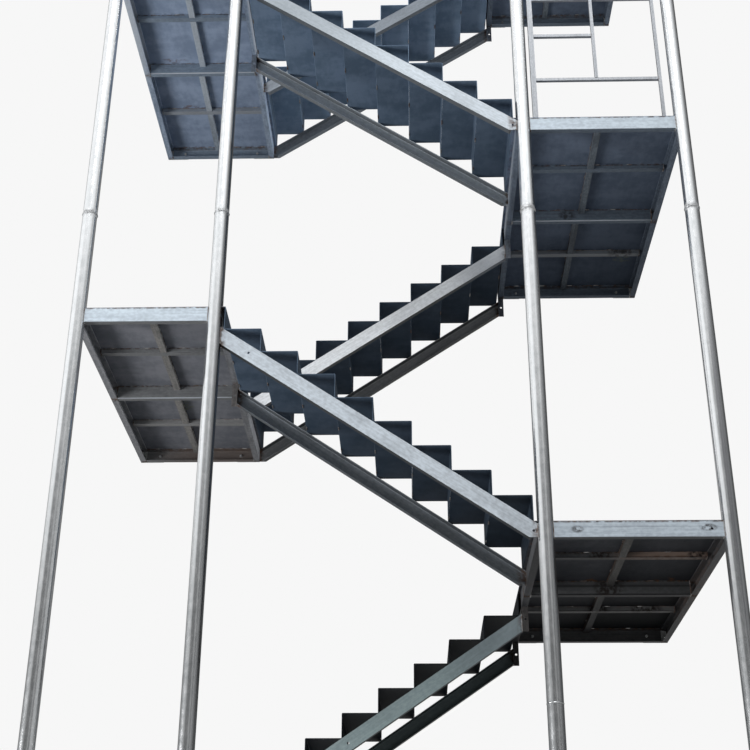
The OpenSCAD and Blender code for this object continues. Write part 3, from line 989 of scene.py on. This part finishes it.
CROSS_BEAM_STAINS_AND_PAINTED_LIGHT: tuple[Stain, ...] = (
    # Painted light: the faces of the rear tubes lifted towards mid grey.
    Stain((2.25, 1.93, 7.5), (9.0, 0.06, 9.0), (0.36, 0.355, 0.35), 0.35, broken=False),
    Stain((4.22, 0.62, 4.92), (0.50, 0.08, 0.06), (0.30, 0.225, 0.185), 0.95, broken=False),
    Stain((4.20, 0.62, 4.906), (0.45, 0.08, 0.02), RUST, 0.5),
    Stain((4.35, -0.025, 4.90), (0.07, 0.01, 0.03), BURNT, 1.0),
    Stain((3.49, -0.025, 4.89), (0.05, 0.01, 0.03), BURNT, 0.9),
    # Painted shade under the channels and tubes of the right landing at 4.95 m.
    Stain((3.87, 1.28, 4.836), (1.3, 1.6, 0.014), PAINTED_SHADE, 0.85, broken=False),
    Stain((3.87, 1.20, 4.906), (1.3, 1.6, 0.012), PAINTED_SHADE, 0.6, broken=False),
    Stain((3.72, 0.60, 4.92), (0.10, 0.06, 0.06), BURNT, 1.0),
    Stain((4.40, 0.60, 4.92), (0.09, 0.06, 0.06), BURNT, 1.0),
    Stain((3.86, 1.25, 4.89), (0.14, 0.06, 0.09), BURNT, 1.0),
    Stain((3.86, 1.92, 4.92), (0.12, 0.06, 0.06), BURNT, 1.0),
    Stain((4.24, 1.92, 4.92), (0.16, 0.06, 0.06), BURNT, 1.0),
    Stain((4.30, 1.92, 8.22), (0.14, 0.06, 0.06), BURNT, 0.75),
    Stain((3.75, 1.25, 8.19), (0.09, 0.06, 0.06), BURNT, 0.75),
    Stain((0.75, 2.56, 6.54), (0.85, 0.10, 0.12), BROWN, 0.7, broken=False),
    # Painted highlights along the lower front edges of the middle channels, and painted light on the front
    # tube of the landing at 9.9 m.
    Stain((0.52, 1.254, 6.486), (0.75, 0.014, 0.009), PAINTED_LIGHT, 0.9, broken=False),
    Stain((3.87, 1.254, 8.136), (0.85, 0.014, 0.009), PAINTED_LIGHT, 0.8, broken=False),
    Stain((0.52, 1.254, 9.786), (0.75, 0.014, 0.009), PAINTED_LIGHT, 0.9, broken=False),
    Stain((0.52, 0.577, 9.88), (0.75, 0.012, 0.04), PAINTED_LIGHT, 0.8, broken=False),
)
RIB_PAINTED_SHADE_AND_LIGHT: tuple[Stain, ...] = (
    # Painted shade on ribs of the right landings at 4.95 and 8.25 m, and painted light on the ribs of the
    # left landing at 9.9 m.
    Stain((3.88, 2.05, 4.92), (0.1, 0.85, 0.06), PAINTED_SHADE, 0.95, broken=False),
    Stain((3.88, 1.65, 8.22), (0.1, 0.35, 0.06), PAINTED_SHADE, 0.5, broken=False),
    Stain((0.50, 1.0, 9.87), (0.12, 1.6, 0.05), PAINTED_LIGHT, 0.4, broken=False),
)
DECK_STAINS: tuple[Stain, ...] = (
    Stain((3.73, 1.24, 4.95), (0.06, 0.05, 0.02), RUST, 0.8),
    Stain((4.28, 1.22, 4.95), (0.10, 0.05, 0.02), RUST, 0.8),
    Stain((0.53, 1.64, 6.60), (0.08, 0.12, 0.02), (0.17, 0.18, 0.12), 0.7),
    Stain((4.33, 2.05, 8.25), (0.10, 0.10, 0.02), (0.13, 0.15, 0.10), 0.7),
    Stain((0.30, 1.90, 9.90), (0.14, 0.06, 0.02), RUST, 0.6),
    Stain((0.25, 1.21, 9.90), (0.16, 0.04, 0.02), RUST, 0.6),
)


@dataclass
class Posts:
    """The four round posts with their splices, feet and the ring welds on them."""

    plan: TowerPlan
    light: Colour = (0.94, 0.96, 0.98)
    dark: Colour = (0.84, 0.87, 0.89)
    smear: Colour = (0.26, 0.27, 0.28)
    bead_bare: Colour = (0.45, 0.46, 0.47)
    sunk: float = 0.0025

    def build(self, frame: dict) -> None:
        """Dresses the posts and adds rippled ring welds at the splices and the feet.

        Args:
            frame: The loaded frame.
        """
        plan = self.plan
        surface = Surface.empty()
        splices = (plan.splice_height - plan.pipe_length, plan.splice_height)
        bead = Bead(radius=0.0066, step=0.005, sides=8)
        for index, (name, x) in enumerate(zip(POSTS, plan.post_x)):
            finish = Galvanised(
                name=f"{name}_zinc", run=Run.ALONG_Z, light=self.light, dark=self.dark, metallic=0.95,
                roughness=0.18, spangle=0.035, streak=1.2, dirt=0.10, relief=0.00015,
                weld_z=splices, weld_reach=0.045, weld_tint=self.smear,
                stains=POST_STAINS_AND_PAINTED_REFLECTION.get(index, ()),
            )
            dress(frame, finish, (name,))
            for height in splices:
                surface.add_grid(bead.ring((x, 0.0, height), plan.post_radius - self.sunk))
            surface.add_grid(bead.ring((x, 0.0, plan.base_plate), plan.post_radius))
        finish = WeldMetal("ring_weld", self.bead_bare, rusty=0.2)
        surface.piece("post_ring_welds", finish.make(), "post_zinc")


@dataclass
class Landings:
    """The seven landings: beams, ribs, decks and the seams that hold them together."""

    plan: TowerPlan
    stitch: float = 0.045
    stitch_every: float = 0.26
    lead: float = 0.08
    cross_lead: float = 0.09
    drift: float = 0.03
    seed: int = 40

    def build(self, frame: dict, weld: bpy.types.Material) -> None:
        """Dresses beams, ribs and decks and adds the landings' seams.

        Args:
            frame: The loaded frame.
            weld: Finish of the welds.
        """
        plan = self.plan
        faces = (plan.left_end, plan.left_face, plan.right_face, plan.right_end)
        under = tuple(level - plan.plate for level in plan.levels)
        joists = tuple(plan.middle_y + side * plan.quarter for side in (-1, 1))
        # Painted shade by place, and painted light on faces that look right.
        beams = Galvanised(
            "side_beam_zinc", Run.ALONG_Y, (0.33, 0.37, 0.42), (0.21, 0.24, 0.28), 0.2, 0.5, dirt=0.5,
            specular=0.12, exposed=Exposure(least=0.13, rightward=2.2),
            weld_y=(plan.middle_y, plan.back), weld_reach=0.05, stains=SIDE_BEAM_STAINS_AND_PAINTED_LIGHT,
        )
        # Painted shade by place, darker on the inner side behind the front face and on faces that look
        # down.
        cross = Galvanised(
            "cross_beam_zinc", Run.ALONG_X, (0.56, 0.64, 0.71), (0.43, 0.49, 0.55), 0.25, 0.5, dirt=0.3,
            specular=0.12, exposed=Exposure(least=0.63, tinted=False),
            sheltered=Exposure(share=0.48, least=0.25, under=0.80),
            sheltered_from=plan.front + SHADE_EDGE,
            weld_z=under, weld_reach=0.016, stains=CROSS_BEAM_STAINS_AND_PAINTED_LIGHT,
        )
        # Painted shade by place, and painted light on faces that look right.
        ribs = Galvanised(
            "rib_zinc", Run.ALONG_Y, (0.34, 0.36, 0.37), (0.21, 0.23, 0.24), 0.15, 0.55, dirt=0.5,
            specular=0.1, exposed=Exposure(least=0.08, rightward=3.4),
            weld_y=joists, weld_z=under, weld_reach=0.04, stains=RIB_PAINTED_SHADE_AND_LIGHT,
        )
        dress(frame, beams, numbered("landing_{}_side_beams"))
        dress(frame, cross, numbered("landing_{}_cross_beams"))
        dress(frame, ribs, ("deck_ribs",))
        # Painted shade by place on all but the top faces.
        deck = DarkPlate(
            "deck_plate", (0.295, 0.335, 0.40), (0.205, 0.24, 0.295), roughness=0.6,
            exposed=Exposure(least=0.03), burn_y=self.rib_lines(), burn_x=faces, stains=DECK_STAINS,
        )
        dress(frame, deck, numbered("landing_{}_deck"))
        seams = Surface.empty()
        for landing in LEVELS:
            self.add_seams(seams, landing)
        seams.piece("landing_welds", weld, "channel_zinc")

    def rib_lines(self) -> tuple[float, ...]:
        """Finds the edges of the tubes and channels under a deck.

        Returns:
            Their places along Y.
        """
        plan = self.plan
        half = plan.rib_width / 2
        tubes = [plan.middle_y + side * plan.quarter + edge for side in (-1, 1) for edge in (-half, half)]
        return (*tubes, plan.middle_y - plan.flange / 2, plan.front + plan.flange, plan.back - plan.flange)

    def add_seams(self, seams: Surface, landing: int) -> None:
        """Adds the seams of one landing.

        Args:
            seams: Surface that collects them.
            landing: Number of the landing.
        """
        plan = self.plan
        bead = Bead(radius=0.0045)
        under = plan.levels[landing - 1] - plan.plate
        low, bottom = under - plan.channel_depth, under - plan.rib_height
        left, right = plan.side_faces(landing)
        posts = plan.post_x[2:] if plan.is_right(landing) else plan.post_x[:2]
        reach = math.sqrt(plan.post_radius ** 2 - plan.front ** 2)
        tilt = math.degrees(math.asin(-plan.front / plan.post_radius))
        for x, inward in mirror_pairs(*posts):
            edge = x + inward * reach
            seams.add_beads(bead, [((edge, plan.front, low), (edge, plan.front, under))])
            middle = 0.0 if inward > 0 else 180.0
            for height in (low, under):
                seams.add_grid(bead.ring((x, 0.0, height), plan.post_radius, middle - tilt, middle + tilt))
        half = plan.flange / 2
        web = plan.middle_y - half
        for x in (left + plan.flange, right - plan.flange):
            lines = [((x, y, low), (x, y + plan.flange, low)) for y in (web, plan.back - plan.flange)]
            lines.append(((x, web, low), (x, web, under)))
            for side in (-1, 1):
                y = plan.middle_y + side * plan.quarter
                lines.append(((x, y - half, bottom), (x, y + half, bottom)))
                lines += [((x, y + edge, bottom), (x, y + edge, under)) for edge in (-half, half)]
            seams.add_beads(bead, lines)
        self.add_stitches(seams, landing, under)

    def add_stitches(self, seams: Surface, landing: int, under: float) -> None:
        """Adds the short stitches between the deck and what carries it.

        Args:
            seams: Surface that collects them.
            landing: Number of the landing.
            under: Height of the deck's under side.
        """
        plan = self.plan
        bead = Bead(radius=0.0042)
        left, right = plan.side_faces(landing)
        rng = np.random.default_rng(self.seed + landing)
        inner_left, inner_right = left + plan.flange, right - plan.flange
        for y in self.rib_lines():
            for start, end in self.stitches(rng, inner_left + self.cross_lead, inner_right - self.lead):
                seams.add_grid(bead.line((start, y, under), (end, y, under)))
        middle = (left + right) / 2
        half = plan.rib_width / 2
        for index, (low, high) in enumerate(self.rib_spans()):
            rib = middle - (plan.rib_step if index > 1 else 0.0)
            for x in (rib - half, rib + half):
                for start, end in self.stitches(rng, low + self.lead, high - self.lead):
                    seams.add_grid(bead.line((x, start, under), (x, end, under)))

    def stitches(self, rng: np.random.Generator, low: float, high: float) -> list[Span]:
        """Lays short seams from low to high, at equal steps that each drift a little.

        Args:
            rng: Source of the drifts, one drawn for each seam.
            low: First place.
            high: Place that no step reaches.

        Returns:
            Start and end of each seam.
        """
        steps = np.arange(low, high, self.stitch_every)
        starts = (step + rng.uniform(-self.drift, self.drift) for step in steps)
        return [(start, start + self.stitch) for start in starts]

    def rib_spans(self) -> tuple[Span, ...]:
        """Finds the front and back end of each rib that runs to the back.

        Returns:
            The spans, from the front to the back.
        """
        plan = self.plan
        half = plan.rib_width / 2
        first, middle, last = (plan.middle_y + side * plan.quarter for side in (-1, 0, 1))
        return (
            (plan.front + plan.flange, first - half), (first + half, middle - half),
            (middle + half, last - half), (last + half, plan.back - plan.flange),
        )


@dataclass
class Flights:
    """The seven flights: sloped stringers, folded steps, hangers and their seams."""

    plan: TowerPlan
    step_light: Colour = (0.19, 0.26, 0.362)
    step_dark: Colour = (0.127, 0.185, 0.264)
    foot_gap: float = 0.004
    spot: float = 0.060
    spot_lead: float = 0.100

    def build(self, frame: dict, weld: bpy.types.Material) -> None:
        """Dresses stringers, steps and hangers and adds the flights' seams.

        Args:
            frame: The loaded frame.
            weld: Finish of the welds.
        """
        plan = self.plan
        # Each flight's tones are painted light and shade; the inner side and faces that look down get
        # painted shade.
        for flight, look in STRINGER_LOOKS.items():
            middle_y = plan.place(flight, np.zeros(3))[1] + plan.flight_width / 2
            run = Run.UP_RIGHT if plan.is_right(flight) else Run.UP_LEFT
            zinc = Galvanised(
                f"stringer_{flight}_zinc", run, look.light, look.dark, 0.3, 0.5, pitch=plan.pitch,
                dirt=0.25, specular=0.1, exposed=Exposure(under=look.under),
                sheltered=Exposure(share=look.shelter, under=look.under_inside), sheltered_from=middle_y,
                weld_x=(plan.left_face, plan.right_face), weld_reach=0.05, stains=look.stains,
            )
            dress(frame, zinc, (f"flight_{flight}_stringers",))
        # Painted shade by place on the steps, darker on faces that look right.
        exposed = Exposure(least=0.03, start=0.0, tinted=False, rightward=0.42)
        # The top flight's steps are a copy twice as light: painted light.
        for name, flights, gain in (("step_plate", range(1, 7), 1.0), ("top_step_plate_painted_light", (7,), 2.0)):
            light, dark = scaled(self.step_light, gain), scaled(self.step_dark, gain)
            steps = DarkPlate(name, light, dark, exposed=exposed)
            dress(frame, steps, numbered("flight_{}_steps", flights))
        # Painted shade by place.
        hanger = Galvanised(
            "hanger_zinc", Run.ALONG_Z, (0.29, 0.30, 0.32), (0.18, 0.19, 0.20), 0.35, 0.55,
            dirt=0.5, exposed=Exposure(least=0.10),
        )
        dress(frame, hanger, ("stringer_hangers",))
        bracket = Galvanised(
            "bracket_zinc", Run.ALONG_Z, (0.60, 0.62, 0.62), (0.36, 0.38, 0.38), 0.35, 0.55, dirt=0.5,
        )
        dress(frame, bracket, ("wall_anchors", "base_plates"))
        seams = Surface.empty()
        for flight in LEVELS:
            lines = (plan.place(flight, np.array(path)) for path in self.seam_lines(flight))
            seams.add_beads(Bead(radius=0.0042), lines)
        seams.piece("flight_welds", weld, "channel_zinc")

    def seam_lines(self, flight: int) -> list[tuple[Point, Point]]:
        """Straight seams of one flight, drawn climbing towards +X.

        A seam runs under each riser's foot on both stringers, three spots join each step to the next
        riser, and upright seams join the stringers to the side beams.

        Args:
            flight: Number of the flight.

        Returns:
            Start and end of every seam.
        """
        plan = self.plan
        width, flange, run, drop = plan.flight_width, plan.flange, plan.run, plan.drop
        gap, spot, lead = self.foot_gap, self.spot, self.spot_lead
        lines: list[tuple[Point, Point]] = []
        for i in range(plan.risers):
            x = plan.nosing + i * plan.going
            foot = plan.stringer_top(x)
            if i or flight > 1:
                for y in (gap, width - flange + gap):
                    lines.append(((x, y, foot), (x, y + flange - 2 * gap, foot)))
            if i:
                under = i * plan.riser - plan.plate
                for y in (lead, width / 2 - spot / 2, width - (lead + spot)):
                    lines.append(((x, y, under), (x, y + spot, under)))
        for y in (0.0, width):
            lines.append(((run, y, plan.stringer_top(run) - drop), (run, y, plan.stringer_top(run))))
            if flight > 1:
                lines.append(((0.0, y, plan.stringer_top(0.0)), (0.0, y, -plan.plate - plan.channel_depth)))
        return lines


@dataclass
class Fasteners:
    """Anchor bolts of the base plates, the foot plates and the plates at the back."""

    plan: TowerPlan
    base_spacing: float = 0.190
    base_bolt: float = 0.008
    foot_spacing: float = 0.340
    foot_lead: float = 0.039
    anchor_spacing: float = 0.140
    hole_edge: float = 0.030
    small_bolt: float = 0.006

    def build(self, zinc: bpy.types.Material) -> None:
        """Adds nuts and studs in every hole of the plates.

        Args:
            zinc: Finish of the fasteners.
        """
        plan = self.plan
        large, small = NutAndStud(self.base_bolt), NutAndStud(self.small_bolt)
        up = (0.0, 0.0, 1.0)
        floor = Surface.empty()
        half = self.base_spacing / 2
        for x in plan.post_x:
            for dx in (-half, half):
                for dy in (-half, half):
                    floor.add_grid(large.grid((x + dx, dy, plan.base_plate), up))
        foot_x = plan.left_face + plan.nosing - self.foot_lead
        for y in (plan.back - plan.flight_width + self.hole_edge, plan.back - self.hole_edge):
            for x in (foot_x, foot_x + self.foot_spacing):
                floor.add_grid(small.grid((x, y, plan.base_plate), up))
        floor.piece("foot_bolts", zinc, "plate_zinc", smooth=30.0)
        rear = Surface.empty()
        for landing in LEVELS:
            left, right = plan.side_faces(landing)
            z = plan.levels[landing - 1] - plan.plate - plan.channel_depth / 2
            for end, inward in mirror_pairs(left, right):
                first = (self.hole_edge, plan.back)
                second = (self.hole_edge + self.anchor_spacing, plan.back - plan.web)
                for offset, y in (first, second):
                    rear.add_grid(small.grid((end + inward * offset, y, z), (0.0, -1.0, 0.0)))
        rear.piece("rear_anchor_bolts", zinc, "plate_zinc", smooth=30.0)


@dataclass
class Railings:
    """The two unfinished railings of square tube, with the welds round their joints."""

    plan: TowerPlan
    post_side: float = 0.040
    tube_side: float = 0.025
    inset: float = 0.100
    low: float = 0.380
    middle: float = 0.820

    def build(self, frame: dict, weld: bpy.types.Material) -> None:
        """Dresses the railings and adds the welds at the feet and at the rails' ends.

        Args:
            frame: The loaded frame.
            weld: Finish of the welds.
        """
        plan = self.plan
        tube = Galvanised(
            "railing_zinc", Run.ALONG_Z, (0.33, 0.345, 0.37), (0.24, 0.255, 0.275), 0.5, 0.4,
            dirt=0.2, spangle=0.012,
        )
        dress(frame, tube, numbered("landing_{}_railing", RAILED))
        welds = Surface.empty()
        first = plan.post_x[2] + self.inset
        last = plan.post_x[3] - self.inset - plan.post_radius / 2
        half = (first + last) / 2
        side = self.tube_side
        edge = side / 2
        face = first + self.post_side / 2
        feet = ((first, 0.0, self.post_side), (last, 0.0, side), (half, self.low + edge, side))
        ends = ((face, self.low), (last - edge, self.low), (face, self.middle), (half - edge, self.middle))
        for landing in RAILED:
            level = plan.levels[landing - 1]
            for x, rise, width in feet:
                self.add_square(welds, (x, 0.0, level + rise), width, upright=True)
            for x, rise in ends:
                self.add_square(welds, (x, 0.0, level + rise), side, upright=False)
        welds.piece("railing_welds", weld, "tube_zinc")

    def add_square(self, welds: Surface, centre: Point, side: float, upright: bool) -> None:
        """Adds four short beads round the end of a square tube.

        Args:
            welds: Surface that collects them.
            centre: Middle of the tube's end.
            side: Side of the tube.
            upright: Whether the tube stands; otherwise it runs along X.
        """
        half = side / 2
        bead = Bead(radius=0.0022, step=0.003)
        flat = ((-half, -half), (half, -half), (half, half), (-half, half))
        points = [np.add(centre, (*point, 0.0) if upright else (0.0, *point)) for point in flat]
        welds.add_beads(bead, zip(points, points[1:] + points[:1]))


@dataclass(frozen=True)
class Softbox:
    """Large soft lamp that looks at a point of the tower."""

    name: str
    place: Point
    aim: Point
    width: float
    height: float
    power: float
    spread: float = 180.0

    def build(self) -> None:
        """Makes the lamp and turns it to the point that it looks at."""
        lamp = bpy.data.lights.new(self.name, "AREA")
        lamp.shape = "RECTANGLE"
        lamp.size = self.width
        lamp.size_y = self.height
        lamp.energy = self.power
        lamp.spread = math.radians(self.spread)
        holder = bpy.data.objects.new(self.name, lamp)
        holder.location = self.place
        holder.rotation_euler = (Vector(self.aim) - Vector(self.place)).to_track_quat("-Z", "Y").to_euler()
        bpy.context.scene.collection.objects.link(holder)


@dataclass(frozen=True)
class GlossRoom:
    """Room round the tower that gloss shows.

    Levels are shares of the pale background, and spans are parts of the reflected ray's way.
    """

    front_low: float = 0.08
    front_rise: float = 0.30
    front_span: Span = (0.28, 0.45)
    front_top: float = 0.62
    top_span: Span = (0.43, 0.57)
    bump: float = 0.15
    bump_across: float = 0.42
    bump_reach: float = 0.30
    flank: float = 0.37
    flank_rise: float = 0.13
    flank_span: Span = (0.40, 0.62)
    flank_across: Span = (0.62, 0.85)
    rear: float = 0.18
    rear_away: Span = (-0.05, 0.25)
    left_low: float = 0.25
    left_top: float = 1.07
    left_span: Span = (0.22, 0.42)
    left_away: Span = (0.0, 0.6)
    left_rear: float = 0.6
    left_across: Span = (-0.35, -0.70)

    def level(self, shading: Shading, across: Socket, away: Socket, upward: Socket) -> Socket:
        """Level by the way of the reflected ray: brightest to the left and high up, darkest to the right.

        Args:
            shading: Builder of the world.
            across: Part of the way along X.
            away: Part of the way along Y.
            upward: Part of the way along Z.

        Returns:
            The level, as a share of the pale background.
        """
        low = shading.ramp(upward, self.front_span, (self.front_low, self.front_low + self.front_rise))
        top = shading.ramp(upward, self.top_span, (0.0, self.front_top))
        bump = shading.times(shading.near(across, self.bump_across, self.bump_reach), self.bump)
        level = shading.plus(shading.plus(low, top), bump)
        flank = shading.ramp(upward, self.flank_span, (self.flank, self.flank + self.flank_rise))
        level = shading.blend(shading.ramp(across, self.flank_across), level, flank)
        level = shading.blend(shading.ramp(away, self.rear_away), level, self.rear)
        left = shading.ramp(upward, self.left_span, (self.left_low, self.left_top))
        left = shading.times(left, shading.ramp(away, self.left_away, (1.0, self.left_rear)))
        return shading.blend(shading.ramp(across, self.left_across), level, left)


@dataclass
class Studio:
    """Camera, lamps, pale floor and pale surroundings."""

    lens: float = 63.7325
    sensor: float = 36.0
    sight: float = 200.0
    camera_place: Point = (2.395, -8.331, 1.876)
    camera_pitch: float = 26.600
    camera_yaw: float = -1.683
    camera_roll: float = 0.299
    floor_side: float = 60.0
    floor_colour: Colour = (0.72, 0.72, 0.71)
    floor_bounce: Colour = (0.20, 0.20, 0.20)
    pale: float = 0.93
    ambient: float = 0.26
    front_fill: float = 0.80
    front_span: Span = (0.10, -0.80)
    right_fill: float = 1.20
    right_span: Span = (0.30, 0.90)

    def build(self) -> None:
        """Builds the whole studio."""
        self.add_camera()
        self.add_floor()
        self.add_surroundings(GlossRoom())
        for lamp in (
            Softbox("key_softbox", (-1.3, -25.0, 41.8), (2.3, 1.0, 6.2), 24.0, 18.0, 9200.0),
            Softbox("left_softbox", (-9.3, -3.6, 2.2), (2.3, 1.0, 8.5), 5.0, 5.0, 660.0, spread=120.0),
        ):
            lamp.build()
        bpy.context.scene.view_settings.view_transform = "Standard"

    def add_camera(self) -> None:
        """Adds the camera from its place, its angles and its lens."""
        pitch, yaw, roll = (math.radians(a) for a in (self.camera_pitch, self.camera_yaw, self.camera_roll))
        ahead = Vector((math.sin(yaw) * math.cos(pitch), math.cos(yaw) * math.cos(pitch), math.sin(pitch)))
        level = Vector((math.cos(yaw), -math.sin(yaw), 0.0))
        upward = level.cross(ahead)
        across = level * math.cos(roll) + upward * math.sin(roll)
        upright = upward * math.cos(roll) - level * math.sin(roll)
        camera = bpy.data.cameras.new("camera")
        camera.sensor_width = self.sensor
        camera.sensor_fit = "HORIZONTAL"
        camera.lens = self.lens
        camera.clip_end = self.sight
        holder = bpy.data.objects.new("camera", camera)
        turn = Matrix((across, upright, -ahead)).transposed()
        holder.matrix_world = Matrix.Translation(self.camera_place) @ turn.to_4x4()
        bpy.context.scene.collection.objects.link(holder)
        bpy.context.scene.camera = holder

    def add_floor(self) -> None:
        """Adds the pale floor, a flat square under the base plates."""
        half = self.floor_side / 2
        mesh = bpy.data.meshes.new("floor")
        square = [(-half, -half, 0), (half, -half, 0), (half, half, 0), (-half, half, 0)]
        mesh.from_pydata(square, [], [(0, 1, 2, 3)])
        floor = bpy.data.objects.new("floor", mesh)
        shading = Shading.paint("floor_paint")
        colour = shading.mix(shading.seen()[1], self.floor_bounce, self.floor_colour)
        mesh.materials.append(shading.surface(colour, 0.0, 0.8, specular=0.0))
        bpy.context.scene.collection.objects.link(floor)

    def add_surroundings(self, room: GlossRoom) -> None:
        """Sets a pale room for what is seen directly, shaded walls for gloss, and low light for the rest.

        Args:
            room: Levels that gloss shows.
        """
        world = bpy.data.worlds.new("studio")
        bpy.context.scene.world = world
        shading = Shading.start(world)
        direct, seen = shading.seen()
        across, away, upward = shading.node("SeparateXYZ", {0: shading.node("TexCoord", {})["Generated"]})
        gloss = shading.times(room.level(shading, across, away, upward), self.pale)
        shown = shading.blend(direct, gloss, self.pale)
        light = shading.ramp(away, self.front_span, (self.ambient, self.ambient + self.front_fill))
        light = shading.plus(light, shading.ramp(across, self.right_span, (0.0, self.right_fill)))
        background = shading.node("Background", {"Color": shading.blend(seen, light, shown)})
        shading.node("OutputWorld", {"Surface": background[0]})


def main() -> None:
    """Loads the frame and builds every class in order."""
    logging.basicConfig(level=logging.INFO, format="%(name)s: %(message)s")
    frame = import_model()
    plan = TowerPlan.from_frame()
    weld = WeldMetal("weld_metal").make()
    Posts(plan).build(frame)
    Landings(plan).build(frame, weld)
    Flights(plan).build(frame, weld)
    Railings(plan).build(frame, weld)
    Fasteners(plan).build(BoltZinc("bolt_zinc").make())
    Studio().build()


if __name__ == "__main__":
    main()
